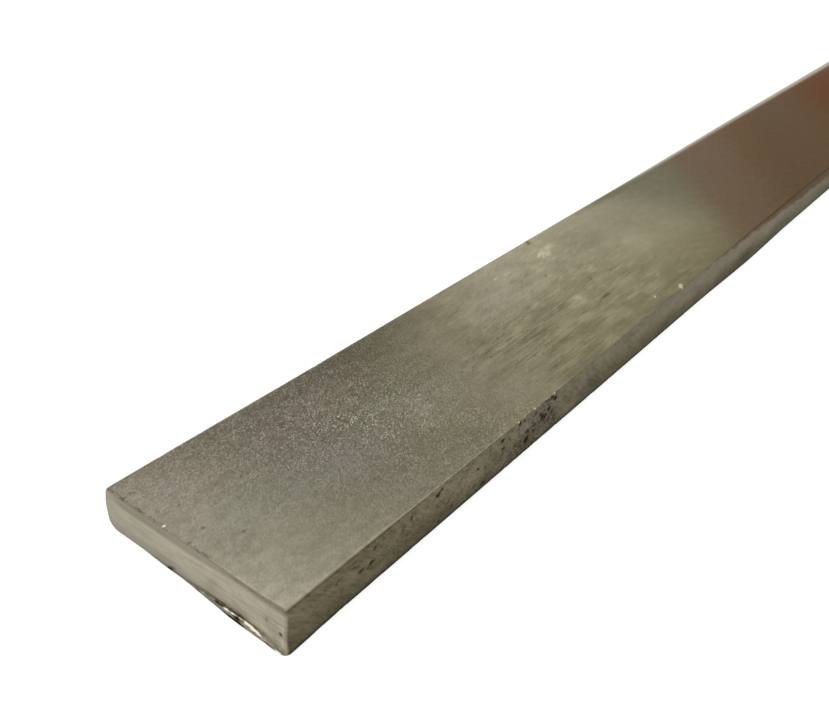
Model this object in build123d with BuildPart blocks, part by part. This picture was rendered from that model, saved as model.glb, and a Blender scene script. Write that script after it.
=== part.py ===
"""A cut length of rolled and pickled steel flat bar, lying on one of its wide faces.

One solid piece of metal. The rolls give it two flat wide faces, two slightly
crowned narrow faces and four long corners. The stock did not quite fill the
rolls along one side, so the corners there are rounder, the lower one most of
all. Both ends are sawn square, and a file has broken their edges.

X runs along the bar, Y across its width and Z through its thickness. The
origin is the middle of the bottom face.
"""

import os

from build123d import *

# Driving dimensions, in millimetres
length = 500.0
width = 30.0  # over the crowns of the narrow faces
thickness = 6.0
crown = 0.10  # how far the middle of a narrow face stands out
crisp_corner = 0.35  # radius of a corner that filled the rolls
worn_corner = 0.60  # radius of the top corner on the unfilled side
unfilled_corner = 1.20  # radius of the bottom corner on the unfilled side
broken_edge = 0.20  # chamfer left by the file round each sawn end

os.makedirs("parts", exist_ok=True)

# The section's corners as (y, z) points, where its faces would meet if they were sharp
corner_y = width / 2 - crown
bottom_left = (corner_y, 0)
bottom_right = (-corner_y, 0)
top_right = (-corner_y, thickness)
top_left = (corner_y, thickness)

corner_radii = {
    bottom_left: unfilled_corner,
    bottom_right: crisp_corner,
    top_right: crisp_corner,
    top_left: worn_corner,
}

with BuildPart() as flat_bar:
    # The rolled section, which is the same all along the bar
    with BuildSketch(Plane.YZ) as section:
        with BuildLine():
            Line(bottom_left, bottom_right)
            SagittaArc(bottom_right, top_right, crown)
            Line(top_right, top_left)
            SagittaArc(top_left, bottom_left, crown)
        make_face()
        for corner, radius in corner_radii.items():
            fillet(section.vertices().sort_by_distance(corner)[0], radius)
    extrude(amount=length / 2, both=True)

    # The sawn ends, with their edges broken
    sawn_ends = flat_bar.faces().filter_by(Axis.X)
    chamfer(sawn_ends.edges(), broken_edge)

flat_bar.part.label = "flat_bar"
export_step(flat_bar.part, "parts/flat_bar.step")
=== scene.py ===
"""The looks of a cut length of rolled and pickled steel flat bar.

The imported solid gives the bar's size and place. This script lays a fine skin over
it. The skin has the solid's width, thickness and crown, but three of its long
corners have other radii. It has the unevenness that rolls, pickling and handling
leave, sawn ends with their ridges, and the burr that the saw pushed out along one
edge. Everything is in metres, with X along the bar, Y across it and Z up.
"""

import math

import bpy
import numpy as np
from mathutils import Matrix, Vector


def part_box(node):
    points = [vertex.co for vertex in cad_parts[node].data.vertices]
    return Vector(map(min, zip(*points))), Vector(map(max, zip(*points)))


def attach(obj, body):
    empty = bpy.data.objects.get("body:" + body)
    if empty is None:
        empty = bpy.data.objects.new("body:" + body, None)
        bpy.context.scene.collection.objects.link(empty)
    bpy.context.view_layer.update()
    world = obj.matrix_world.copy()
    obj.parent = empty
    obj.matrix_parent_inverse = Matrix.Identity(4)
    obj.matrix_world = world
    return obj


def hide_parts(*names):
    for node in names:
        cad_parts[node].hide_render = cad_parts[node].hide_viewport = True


MM = 0.001

# ---------------------------------------------------------------- the bar's size

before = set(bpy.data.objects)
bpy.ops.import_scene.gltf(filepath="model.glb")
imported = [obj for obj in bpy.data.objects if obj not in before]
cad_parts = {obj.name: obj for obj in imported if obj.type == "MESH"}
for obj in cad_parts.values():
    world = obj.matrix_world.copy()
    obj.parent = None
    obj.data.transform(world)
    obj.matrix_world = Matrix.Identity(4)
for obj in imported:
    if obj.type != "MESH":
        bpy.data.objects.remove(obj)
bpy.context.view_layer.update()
bar_low, bar_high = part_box("flat_bar")

LENGTH = bar_high.x - bar_low.x
WIDTH = 2 * bar_high.y
THICKNESS = bar_high.z - bar_low.z
NEAR_END = bar_low.x

CROWN = 0.10 * MM  # how far the middle of a narrow face stands out
CRISP_CORNER = 0.12 * MM  # radius of the top corner on the -Y side
BLUNT_CORNER = 0.42 * MM  # its radius near the near end
BLUNT_LENGTH = 11 * MM  # up to here it is blunt
CRISP_START = 26 * MM  # and from here on it is crisp
SHARP_CORNER = 0.16 * MM  # radius of the bottom corner on the -Y side
WORN_CORNER = 0.80 * MM  # of the top corner on the +Y side
UNFILLED_CORNER = 1.20 * MM  # and of the bottom corner on the +Y side
ROUNDED_END = 0.14 * MM  # the wear round each sawn end
WORN_FOOT = 0.42 * MM  # and the wear down the near end's -Y edge
SHOULDER_WIDTH = 2.75 * MM  # the top droops towards its +Y side, from this far in
SHOULDER_DROP = 0.22 * MM
SHOULDER_START = 95 * MM  # distance from the near end where the droop begins
SHOULDER_FULL = 140 * MM  # and where it is full
SPREAD = 0.35 * MM  # how much further out the +Y side stands beyond the droop
SPREAD_START = 110 * MM
SPREAD_FULL = 185 * MM
SWELL = 0.30 * MM  # a swelling low on the -Y face, and the middle and half length of it
SWELL_MIDDLE = 118 * MM
SWELL_HALF = 22 * MM
FLARE = 0.13 * MM  # how far the foot of the -Y face flares out at the near end
FLARE_LENGTH = 8 * MM
LEAN = 0.38 * MM  # how far the near end's foot stands out at its -Y side
LEAN_LENGTH = 3 * MM  # and how soon that fades along the bar
BULGE = 0.18 * MM  # how far the +Y side stands out near the near end
BULGE_FULL = 6 * MM  # up to here in full
BULGE_LENGTH = 34 * MM  # and here no more
CLIPPED = 0.35 * MM  # how far the near end's top corner is worn back on the +Y side
CLIPPED_LENGTH = 0.9 * MM

# The rolls' long waves and fine ripple, the height that their sum is capped at, and nicks
WAVE_HEIGHT = 0.010 * MM
RIPPLE_HEIGHT = 0.0022 * MM
HIGHEST_WAVE = 0.012 * MM
QUIET_START = 92 * MM  # from here on the waves shrink
QUIET_FULL = 116 * MM  # and from here on they have this share of their height
QUIET_SHARE = 0.2
NICK_DEPTH = 0.05 * MM
NICKED_LENGTH = 60 * MM  # the corners are nicked up to here
UNNICKED_START = 95 * MM  # and no more from here on

# The sawn ends: how far they are sunk, and the heights of their ridges and torn hollows
SAW_SINK = 0.02 * MM
SAW_RIDGES = 0.014 * MM
SAW_HOLLOWS = 0.020 * MM

# The grid of the skin: columns round the section, and stations along the bar
WIDE_COLUMNS = 68
NARROW_COLUMNS = 26
CORNER_COLUMNS = 6
CROWDING = 0.85  # how strongly the points of a straight face crowd towards its corners
FINE_LENGTH = 96 * MM  # the near stretch, where the most happens
FINE_STEP = 0.30 * MM
END_LENGTH = 1.2 * MM  # the stretch behind the near end, with finer steps still
END_STEP = 0.12 * MM
COARSE_RINGS = 80
ROUNDED_RINGS = 5
MAP_ROWS = 3  # rows that the long strip is folded into on its texture map
MAP_GAP = 1 * MM
MAP_END_SCALE = 1.5
MAP_FAR_END = 20 * MM  # how far above the near end the far end lies on the map


# ---------------------------------------------------------------- smooth random fields


def uneven(u, v, seed, octaves=1):
    """Smooth random heights between -1 and 1 over the plane (u, v).

    Random values sit on whole-number points. Between them the height follows a
    cubic ease from one to the next, first along u and then along v. Each further
    octave adds the same field at twice the pitch and half the height.
    """
    total = np.zeros(np.broadcast(u, v).shape)
    reach = 0.0
    for octave in range(octaves):
        heights = np.random.default_rng(seed + octave).uniform(-1, 1, (256, 256))
        pitch, share = 2.0**octave, 0.5**octave
        at_u, at_v = u * pitch, v * pitch
        cell_u, cell_v = np.floor(at_u).astype(int), np.floor(at_v).astype(int)
        part_u, part_v = at_u - cell_u, at_v - cell_v
        ease_u = part_u * part_u * (3 - 2 * part_u)
        ease_v = part_v * part_v * (3 - 2 * part_v)
        near_side = heights[cell_u % 256, cell_v % 256] * (1 - ease_u)
        near_side = near_side + heights[(cell_u + 1) % 256, cell_v % 256] * ease_u
        far_side = heights[cell_u % 256, (cell_v + 1) % 256] * (1 - ease_u)
        far_side = far_side + heights[(cell_u + 1) % 256, (cell_v + 1) % 256] * ease_u
        total += share * (near_side * (1 - ease_v) + far_side * ease_v)
        reach += share
    return total / reach


def eased(value, low, high):
    """0 below low, 1 above high, and a cubic ease between them.

    Where low is the greater of the two, it falls from 1 to 0 instead.
    """
    part = np.clip((value - low) / (high - low), 0, 1)
    return part * part * (3 - 2 * part)


# ---------------------------------------------------------------- the rolled section


def section_outline(top_corner):
    """Points once round the section, and the way each faces.

    Four quarter circles and four straight faces follow one another, clockwise seen
    from the near end's outside: the -Y corners and narrow face, the top, the +Y
    corners and narrow face, the bottom. top_corner is the radius of the -Y side's
    top corner. A narrow face stands out by the crown times one minus the square of
    its height from the middle over the half thickness. The points of a straight face
    crowd towards its corners: their share of the way across is s less the crowding
    over 2 pi times the sine of 2 pi s.
    """
    half = WIDTH / 2 - CROWN
    corners = (
        (-1, False, SHARP_CORNER, -90),
        (-1, True, top_corner, -180),
        (1, True, WORN_CORNER, 90),
        (1, False, UNFILLED_CORNER, 0),
    )
    arcs = []
    for side, at_top, radius, start in corners:
        angle = np.radians(np.linspace(start, start - 90, CORNER_COLUMNS + 1))
        middle_y = side * (half - radius)
        middle_z = THICKNESS - radius if at_top else radius
        arcs.append(np.stack([middle_y + radius * np.cos(angle), middle_z + radius * np.sin(angle)], 1))
    points = []
    for arc, following, columns in zip(arcs, arcs[1:] + arcs[:1], (NARROW_COLUMNS, WIDE_COLUMNS) * 2):
        share = np.linspace(0, 1, columns + 1)[1:-1, None]
        share = share - CROWDING / (2 * np.pi) * np.sin(2 * np.pi * share)
        points += [arc, arc[-1] * (1 - share) + following[0] * share]
    outline = np.concatenate(points)
    from_middle = (outline[:, 1] - THICKNESS / 2) / (THICKNESS / 2)
    outline[:, 0] += np.sign(outline[:, 0]) * CROWN * (1 - from_middle**2)
    along = np.roll(outline, -1, 0) - np.roll(outline, 1, 0)
    facing = np.stack([-along[:, 1], along[:, 0]], 1)
    facing /= np.linalg.norm(facing, axis=1, keepdims=True)
    return outline, facing


def map_folds():
    """Distances from the near end where the texture map is folded."""
    return LENGTH * np.arange(1, MAP_ROWS) / MAP_ROWS


def stations():
    """Distances of the rings from the near end, and how far each ring's outline is drawn in.

    Each end is rounded: over an angle from 0 to 90 degrees the distance from the end
    is the rounding times one minus its sine, and the drawing in is the rounding times
    one minus its cosine. Behind the near end lie very fine steps, then fine ones and
    then coarse ones up to the far end. The ring nearest to each fold of the texture
    map is moved onto it.
    """
    turn = np.radians(np.linspace(90, 0, ROUNDED_RINGS))
    rounding = ROUNDED_END * (1 - np.sin(turn))
    finest = np.arange(ROUNDED_END, END_LENGTH, END_STEP)[1:]
    fine = np.arange(END_LENGTH, FINE_LENGTH, FINE_STEP)
    coarse = np.linspace(FINE_LENGTH, LENGTH - ROUNDED_END, COARSE_RINGS)[:-1]
    for fold in map_folds():
        coarse[np.abs(coarse - fold).argmin()] = fold
    distance = np.concatenate([rounding, finest, fine, coarse, LENGTH - rounding[::-1]])
    drawn_in = np.zeros(len(distance))
    drawn_in[:ROUNDED_RINGS] = ROUNDED_END * (1 - np.cos(turn))
    drawn_in[-ROUNDED_RINGS:] = drawn_in[ROUNDED_RINGS - 1 :: -1]
    return distance, drawn_in


# ---------------------------------------------------------------- marks of rolling and handling

# Single scale pits of the -Y narrow face, in mm: from the near end, height, half length,
# half height, strength
NAMED_PITS = (
    (7.1, 4.5, 0.35, 0.35, 0.6),
    (10.3, 4.5, 0.55, 0.25, 0.55),
    (10.8, 3.5, 0.50, 0.24, 0.9),
    (11.9, 3.1, 0.30, 0.20, 0.6),
    (12.6, 3.5, 0.45, 0.28, 1.0),
    (13.2, 5.1, 0.28, 0.26, 0.8),
    (15.1, 3.9, 0.30, 0.25, 0.5),
    (17.7, 4.0, 0.50, 0.30, 0.6),
    (19.5, 5.0, 0.26, 0.45, 0.7),
    (22.5, 3.3, 0.40, 0.30, 0.4),
    (24.4, 5.0, 0.45, 0.32, 0.9),
    (25.1, 5.3, 0.24, 0.30, 0.8),
    (26.6, 5.6, 0.28, 0.20, 0.4),
    (27.3, 3.5, 0.45, 0.18, 0.5),
    (28.4, 4.0, 0.55, 0.22, 0.6),
    (31.3, 5.5, 0.25, 0.20, 0.5),
    (32.8, 5.6, 0.28, 0.18, 0.5),
    (32.3, 3.9, 0.42, 0.25, 0.8),
    (33.4, 1.0, 0.60, 0.30, 0.9),
    (34.2, 1.7, 0.40, 0.28, 0.5),
    (36.3, 4.0, 0.25, 0.32, 0.4),
    (37.6, 5.1, 0.38, 0.24, 1.2),
    (37.8, 3.8, 0.45, 0.24, 0.9),
    (39.2, 4.6, 0.32, 0.26, 0.6),
    (39.2, 1.8, 0.60, 0.30, 0.5),
    (40.4, 2.7, 0.40, 0.28, 0.9),
    (41.5, 5.5, 0.38, 0.24, 0.9),
    (42.5, 5.4, 0.40, 0.20, 0.7),
    (41.7, 2.7, 0.40, 0.22, 0.7),
    (43.2, 2.1, 0.52, 0.34, 1.5),
    (43.4, 3.5, 0.50, 0.24, 0.9),
    (45.1, 5.2, 0.36, 0.22, 0.7),
    (44.9, 3.4, 0.60, 0.24, 0.9),
    (44.8, 2.5, 0.45, 0.24, 1.0),
    (46.5, 4.3, 0.36, 0.30, 1.0),
    (47.0, 3.6, 0.34, 0.38, 1.3),
    (47.7, 3.6, 0.40, 0.22, 1.2),
    (46.2, 3.2, 0.42, 0.24, 0.9),
    (47.4, 4.5, 0.28, 0.20, 0.8),
    (46.0, 2.2, 0.40, 0.22, 0.6),
    (48.6, 4.1, 0.45, 0.24, 1.3),
    (48.5, 4.8, 0.42, 0.20, 0.8),
    (50.1, 5.0, 0.40, 0.26, 1.3),
    (49.4, 5.5, 0.50, 0.24, 0.9),
    (49.4, 3.2, 0.45, 0.28, 0.9),
    (48.5, 2.5, 0.42, 0.32, 0.8),
    (52.5, 4.0, 0.50, 0.22, 0.5),
    (55.0, 4.0, 0.95, 0.22, 0.5),
)
# Stretches of both narrow faces with more pits, in mm: from, to, pits in each mm
PITTED_STRETCHES = (
    (5, 24, 1.2),
    (24, 41, 3.4),
    (41, 50.5, 8.0),
    (50.5, 60, 0.8),
    (60, 94, 0.25),
)
PIT_DEPTH = 0.06 * MM


def pit_list(seed, named):
    """Middles, half lengths, half heights and strengths of the pits of one narrow face.

    Strengths have no unit, and the rest is in metres. Besides the single pits, others
    are drawn by chance over each pitted stretch.
    """
    rng = np.random.default_rng(seed)
    pits = [np.array(NAMED_PITS)] if named else []
    for start, end, each_mm in PITTED_STRETCHES:
        count = int((end - start) * each_mm)
        drawn = rng.uniform(0, 1, (count, 5))
        middle_x = start + (end - start) * drawn[:, 0]
        middle_z = 0.6 + 5.0 * drawn[:, 1]
        half_length = 0.14 + 0.30 * drawn[:, 2] ** 2
        half_height = 0.12 + 0.14 * drawn[:, 3]
        strength = 0.30 + 0.50 * drawn[:, 4]
        pits.append(np.stack([middle_x, middle_z, half_length, half_height, strength], 1))
    pits = np.concatenate(pits)
    pits[:, :4] *= MM
    return pits


def scale_pits(along, height, pits):
    """How deep each point of a narrow face lies in its pits, counted in PIT_DEPTH.

    Each pit is a bell: one minus the ease of the distance from its middle, counted
    in half lengths along the bar and half heights across it, times its strength.
    Where pits overlap, the deeper one counts.
    """
    depth = np.zeros(np.broadcast(along, height).shape)
    for x, z, half_length, half_height, strength in pits:
        near = np.abs(along[:, 0] - x) < 2.2 * half_length + FINE_STEP
        distance = np.hypot((along[near] - x) / half_length, (height - z) / half_height)
        depth[near] = np.maximum(depth[near], strength * (1 - eased(distance, 0.2, 2.0)))
    return depth


# Broad lighter and darker areas of the top, painted light and shade of what the top mirrors together with the
# steel's
# uneven tone, in mm: from the near end, across the bar, half length, half width, strength
PALE_AREAS = (
    (23, -3, 9.0, 5.0, 0.85),
    (22, -12, 5.0, 3.0, 0.4),
    (47, -11, 5.0, 3.5, 0.5),
    (66, 6, 10.0, 5.0, 0.85),
    (40, -4, 12.0, 5.0, 0.65),
    (75, 8, 10.0, 4.0, 0.4),
    (71, 12.5, 12.0, 4.0, 0.68),
    (99, -0.5, 4.2, 3.6, 1.2),
    (111, -3, 6.0, 4.0, 0.5),
    (86, -12, 5.0, 2.5, 0.5),
)
DULL_AREAS = (
    (38, 14, 21.0, 6.0, 1.5),
    (30, 5, 6.0, 4.0, 0.65),
    (95, 7, 7.0, 6.5, 1.15),
    (107, 6, 5.0, 5.0, 0.75),
    (97, -12, 7.0, 3.0, 0.4),
    (70, -3, 8.0, 2.6, 0.85),
    (84, -3, 8.0, 3.0, 0.75),
    (79, 4, 6.0, 4.0, 0.55),
    (12, 13, 12.0, 5.0, 0.75),
    (2, 0, 4.0, 12.0, 0.5),
    (3, -4, 4.0, 4.0, 0.85),
    (8, 3, 5.0, 4.0, 0.37),
    (8, -12, 6.0, 4.0, 0.6),
    (36, -12, 5.0, 3.5, 0.75),
)
# Faint tints that the pickling left on the top, given in the same way
GREEN_TINTS = (
    (14.5, 10.8, 3.0, 1.8, 0.8),
    (10.0, 0.0, 5.0, 3.4, 1.0),
    (5.0, -1.2, 2.4, 1.3, 0.8),
    (15.5, -4.0, 3.5, 1.5, 0.9),
    (21.5, -5.6, 4.0, 1.6, 1.0),
    (26.5, -5.2, 3.0, 1.2, 0.6),
    (30.0, 0.3, 3.2, 1.7, 1.0),
    (34.0, 1.0, 3.0, 1.9, 1.0),
    (38.0, 3.0, 2.6, 1.8, 0.8),
    (43.0, 7.0, 3.4, 2.8, 0.9),
    (45.0, 11.0, 4.4, 2.8, 1.0),
    (48.5, 13.5, 2.4, 1.6, 1.0),
    (31.5, -3.8, 2.4, 1.5, 0.5),
)
MAUVE_TINTS = (
    (4.0, 9.0, 8.0, 9.0, 0.8),
    (26.0, 7.5, 14.0, 6.0, 0.9),
    (34.0, 11.0, 8.0, 5.0, 1.0),
    (18.0, -0.5, 8.0, 3.0, 0.4),
)
# Broad darker patches on the -Y narrow face, paler patches, and patches of scale: from the near end,
# height, half length, half height, strength
SIDE_STAINS = (
    (11.0, 5.2, 10.0, 1.0, 0.75),
    (54.0, 5.0, 5.0, 1.0, 0.5),
    (70.0, 5.0, 5.0, 1.0, 0.45),
    (46.0, 5.2, 4.0, 0.8, 0.6),
    (46.0, 3.2, 3.0, 0.8, 0.7),
    (60.5, 2.8, 2.6, 1.5, 1.25),
    (24.0, 1.3, 3.0, 0.8, 0.4),
    (83.5, 2.0, 3.5, 1.3, 0.6),
    (109.0, 1.6, 3.5, 1.4, 0.5),
    (116.0, 1.9, 4.0, 1.3, 0.6),
    (117.0, 1.5, 1.6, 0.9, 1.4),
)
SIDE_PALE = (
    (30.5, 3.0, 4.2, 2.4, 0.72),
    (13.0, 1.5, 4.0, 0.8, 0.55),
    (38.0, 1.5, 2.6, 0.8, 0.7),
    (47.0, 1.4, 2.5, 0.7, 0.6),
    (54.0, 1.5, 3.0, 0.8, 0.8),
    (102.0, 2.6, 6.0, 1.6, 0.5),
    (3.0, 1.6, 3.0, 1.2, 0.4),
    (90.0, 3.0, 8.0, 1.2, 0.5),
    (110.0, 3.3, 4.0, 1.2, 0.55),
    (126.0, 3.0, 5.0, 1.2, 0.55),
    (148.0, 1.6, 8.0, 1.2, 0.5),
    (166.0, 4.7, 3.2, 0.6, 0.9),
    (171.0, 4.3, 2.2, 0.6, 0.8),
)
SIDE_SCALE = (
    (43.0, 4.6, 2.6, 1.3, 0.8),
    (46.5, 3.6, 3.2, 1.6, 1.0),
    (49.5, 4.2, 1.8, 1.2, 0.7),
)

# Dark spots on the near end, in mm: across the bar, height, half width, half height, strength
END_STAINS = (
    (-14.1, 2.55, 0.30, 0.28, 1.0),
    (-12.0, 3.15, 0.42, 0.34, 0.5),
    (-12.9, 3.15, 0.50, 0.20, 0.35),
    (-3.4, 2.4, 0.45, 0.55, 0.22),
    (-3.0, 1.5, 0.45, 0.55, 0.25),
    (-2.6, 0.8, 0.40, 0.45, 0.22),
    (-3.8, 3.1, 0.80, 0.80, 0.16),
    (-13.0, 2.2, 1.20, 1.90, 0.20),
    (-13.2, 1.3, 0.90, 0.70, 0.30),
    (5.0, 1.3, 1.80, 0.60, 0.10),
    (4.1, 0.1, 0.42, 0.24, 1.3),
    (3.5, 0.5, 0.30, 0.22, 0.7),
    (6.3, 0.2, 0.50, 0.25, 0.3),
    (-7.8, 1.8, 0.80, 0.40, 0.12),
)


def marked(first, second, marks, full=0.0, gone=1.7):
    """How strongly each point is marked, from 0 to 2.

    first and second are the points' places in the units of the marks. Each mark is a
    bell: one minus the ease from full to gone of the distance from its middle, counted
    in its half sizes. Where marks overlap, the stronger one counts.
    """
    strength = np.zeros(np.broadcast(first, second).shape)
    for middle, other_middle, half_size, other_half_size, how_strong in marks:
        distance = np.hypot((first - middle) / half_size, (second - other_middle) / other_half_size)
        strength = np.maximum(strength, how_strong * (1 - eased(distance, full, gone)))
    return np.clip(strength, 0, 2)


# ---------------------------------------------------------------- meshes


def add_mesh(name, points, faces, smooth=True):
    """A mesh object from an array of points and an array of four-cornered faces."""
    mesh = bpy.data.meshes.new(name)
    mesh.vertices.add(len(points))
    mesh.vertices.foreach_set("co", points.astype(np.float32).ravel())
    mesh.loops.add(faces.size)
    mesh.loops.foreach_set("vertex_index", faces.astype(np.int32).ravel())
    mesh.polygons.add(len(faces))
    mesh.polygons.foreach_set("loop_start", np.arange(0, faces.size, 4, dtype=np.int32))
    mesh.update(calc_edges=True)
    mesh.polygons.foreach_set("use_smooth", np.full(len(faces), smooth))
    piece = bpy.data.objects.new(name, mesh)
    bpy.context.scene.collection.objects.link(piece)
    return piece


def add_values(piece, name, values):
    """One number at each point of a mesh, which its material reads by name."""
    attribute = piece.data.attributes.new(name, "FLOAT", "POINT")
    attribute.data.foreach_set("value", values.astype(np.float32).ravel())


def patch_between(right, top, left, bottom):
    """Points of a patch whose four sides are given, each as points in the same turning order.

    It is a Coons patch: the mean across of the left and right sides, plus the mean
    up of the bottom and top sides, less the mean of the four corners. The result
    has one row for each point of the right side and one column for each of the top.
    """
    left, bottom = left[::-1], bottom[::-1]
    up = np.linspace(0, 1, len(right))[:, None, None]
    over = np.linspace(0, 1, len(top))[None, :, None]
    sides = right[:, None] * (1 - over) + left[:, None] * over
    ends = bottom[None] * (1 - up) + top[None] * up
    low_corners = right[0] * (1 - over) + left[0] * over
    high_corners = right[-1] * (1 - over) + left[-1] * over
    return sides + ends - low_corners * (1 - up) - high_corners * up


def tube_faces(rings, columns):
    """The four-cornered faces of a tube of points, numbered ring by ring."""
    start = np.arange(rings - 1)[:, None] * columns
    here, following = np.arange(columns), (np.arange(columns) + 1) % columns
    corners = [start + here, start + columns + here, start + columns + following, start + following]
    return np.stack(corners, -1).reshape(-1, 4)


def folded_map(distance, path, arc, turn):
    """Places on the texture map for each corner of the tube's faces, in metres.

    The tube is cut along its bottom and laid flat, with its length along u and the way
    round it along v. It is folded into rows, each starting again at u = 0.
    """
    folds = LENGTH * np.arange(1, MAP_ROWS) / MAP_ROWS
    row = np.searchsorted(folds, distance[:-1] + 0.001 * MM)
    row_start = np.concatenate([[0], np.interp(folds, distance, path)])[row]
    left, right = path[:-1] - row_start, path[1:] - row_start
    low = row[:, None] * (turn + MAP_GAP) + arc
    high = row[:, None] * (turn + MAP_GAP) + np.append(arc[1:], turn)
    shape = np.ones_like(low)
    left, right = left[:, None] * shape, right[:, None] * shape
    corners = [(left, low), (right, low), (right, high), (left, high)]
    return np.stack([np.stack(corner, -1) for corner in corners], -2).reshape(-1, 4, 2)


def end_patch(ring, ring_start, first_new, outward):
    """A sawn end: the patch inside a ring, its new points, and its faces by point number.

    The ring is cut in the middles of its four corners, and the patch lies between.
    The patch is sunk a little. Saw ridges run across the bar: the patch moves along X
    by an uneven height whose pitch is fine up the end and long across it, and by
    another one that is rounder, for torn hollows.
    """
    up, over = CORNER_COLUMNS + NARROW_COLUMNS, CORNER_COLUMNS + WIDE_COLUMNS
    cuts = CORNER_COLUMNS // 2 + np.cumsum([0, up, over, up, over])
    sides = [np.arange(start, end + 1) % len(ring) for start, end in zip(cuts, cuts[1:])]
    patch = patch_between(*[ring[side] for side in sides])
    inner = patch[1:-1, 1:-1]
    y, z = inner[..., 1], inner[..., 2]
    ridges = SAW_RIDGES * uneven(z / (0.45 * MM) + 0.05 * y / MM, y / (9 * MM), 17, 2)
    hollows = SAW_HOLLOWS * uneven(y / (1.7 * MM), z / (1.3 * MM), 19, 2)
    inner[..., 0] -= outward * (SAW_SINK + ridges + hollows)
    numbers = np.empty(patch.shape[:2], int)
    numbers[1:-1, 1:-1] = first_new + np.arange(inner[..., 0].size).reshape(inner.shape[:2])
    numbers[:, 0] = ring_start + sides[0]
    numbers[-1, :] = ring_start + sides[1]
    numbers[:, -1] = ring_start + sides[2][::-1]
    numbers[0, :] = ring_start + sides[3][::-1]
    low, high = slice(-1), slice(1, None)
    corners = [(low, low), (low, high), (high, high), (high, low)]
    faces = np.stack([numbers[corner] for corner in corners], -1).reshape(-1, 4)
    spread = np.stack([patch[corner][..., 1:] for corner in corners], -2).reshape(-1, 4, 2)
    turn = -1 if outward < 0 else 1
    return inner.reshape(-1, 3), faces[:, ::turn], spread[:, ::turn]


def foot_leaning(y, z):
    """How far the near end stands out towards the foot of its -Y side.

    It is the lean times an ease across the bar times an ease down it.
    """
    return LEAN * eased(-y, 9 * MM, WIDTH / 2) * eased(z, 5.9 * MM, 1.8 * MM)


def moved_out(along, arc, y, facing, pitted):
    """How far each point of the skin moves along the way that it faces.

    Long waves and a fine ripple are uneven heights whose sum is capped. The waves
    shrink beyond the stretch where the most happens. Nicks are the peaks of an uneven
    height along the corners. The shoulder droops by the square of the share of the way
    into it, and pits sink by their depth.
    """
    quieter = QUIET_SHARE + (1 - QUIET_SHARE) * eased(along, QUIET_FULL, QUIET_START)
    waves = WAVE_HEIGHT * uneven(along / (34 * MM), arc / (11 * MM), 3, 2) * quieter
    ripple = RIPPLE_HEIGHT * uneven(along / (5 * MM), arc / (1.6 * MM), 5, 2)
    corner = eased(np.minimum(np.abs(facing[:, 0]), np.abs(facing[:, 1])), 0.1, 0.5)
    nicks = corner * eased(uneven(along / (1.1 * MM), arc / (6 * MM), 7, 2), 0.25, 0.8)
    nicks = nicks * eased(along, UNNICKED_START, NICKED_LENGTH)
    into_shoulder = np.clip((y - WIDTH / 2) / SHOULDER_WIDTH + 1, 0, 1)
    shoulder = eased(facing[:, 1], 0.5, 0.95) * into_shoulder**2
    shoulder = shoulder * eased(along, SHOULDER_START, SHOULDER_FULL)
    rolled = np.minimum(waves + ripple, HIGHEST_WAVE)
    return rolled - NICK_DEPTH * nicks - SHOULDER_DROP * shoulder - PIT_DEPTH * pitted


def moved_sideways(along, y, z):
    """How far each point of the skin moves along Y, to give the narrow faces their form.

    The +Y side spreads further on and bulges near the near end, and at that end its
    top corner is clipped by the square of an ease. The -Y side swells low down about
    one middle and flares out at its foot near the near end.
    """
    spread = SPREAD * eased(along, SPREAD_START, SPREAD_FULL)
    bulge = BULGE * eased(along, BULGE_LENGTH, BULGE_FULL)
    clipped = eased(along, CLIPPED_LENGTH, 0) * eased(y, WIDTH / 2 - 1.2 * MM, WIDTH / 2)
    clipped = clipped * eased(z, 3 * MM, 5.4 * MM)
    low_down = eased(z, THICKNESS / 2, 0)
    swell = SWELL * eased(np.abs(along - SWELL_MIDDLE), SWELL_HALF, 0) * low_down
    flare = FLARE * eased(along, FLARE_LENGTH, 0) * low_down
    towards_plus = (spread + bulge) * eased(y, 10 * MM, WIDTH / 2)
    towards_minus = (swell + flare) * eased(-y, WIDTH / 2 - MM, WIDTH / 2)
    return towards_plus - towards_minus - CLIPPED * clipped**2


def worn_ends(along, drawn_in, arc, y, z):
    """How far the rings near the ends are drawn in across and up, and how far they are set back.

    The drawing in of the stations is made ragged by an uneven height. Down the near
    end's -Y edge it is greater by the ratio of the two wears. Across the bar that counts
    in full, and up it by half and only towards the top. There the end is set back too.
    """
    ragged = 1 + 0.2 * uneven(arc / (2.6 * MM), along / MM, 13, 1)
    worn = 1 + (WORN_FOOT / ROUNDED_END - 1) * eased(-y, 11.5 * MM, WIDTH / 2) * (along < LENGTH / 2)
    drawn_y = drawn_in[:, None] * ragged * worn
    drawn_z = drawn_in[:, None] * ragged * (1 + (worn - 1) * eased(z, THICKNESS / 2, THICKNESS) * 0.5)
    set_back = (worn - 1) * np.minimum(along, ROUNDED_END) * eased(along, END_LENGTH, ROUNDED_END)
    return drawn_y, drawn_z, set_back


def lay_map(skin, outline, arc, distance, drawn_in, end_spreads):
    """The texture map: rows of the folded skin, and beside them the two ends, somewhat enlarged."""
    turn = arc[-1] + np.linalg.norm(outline[0] - outline[-1])
    path = np.concatenate([[0], np.cumsum(np.hypot(np.diff(distance), np.diff(drawn_in)))])
    beside = LENGTH / MAP_ROWS + 2 * MAP_GAP
    places = [folded_map(distance, path, arc, turn)]
    for spread, low in zip(end_spreads, (0, MAP_FAR_END)):
        places.append(spread * MAP_END_SCALE + (beside + MAP_END_SCALE * WIDTH / 2, low))
    side = MAP_ROWS * (turn + MAP_GAP) + MAP_GAP
    chart = skin.data.uv_layers.new(name="OFBake")
    chart.data.foreach_set("uv", ((np.concatenate(places) + MAP_GAP) / side).astype(np.float32).ravel())


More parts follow.
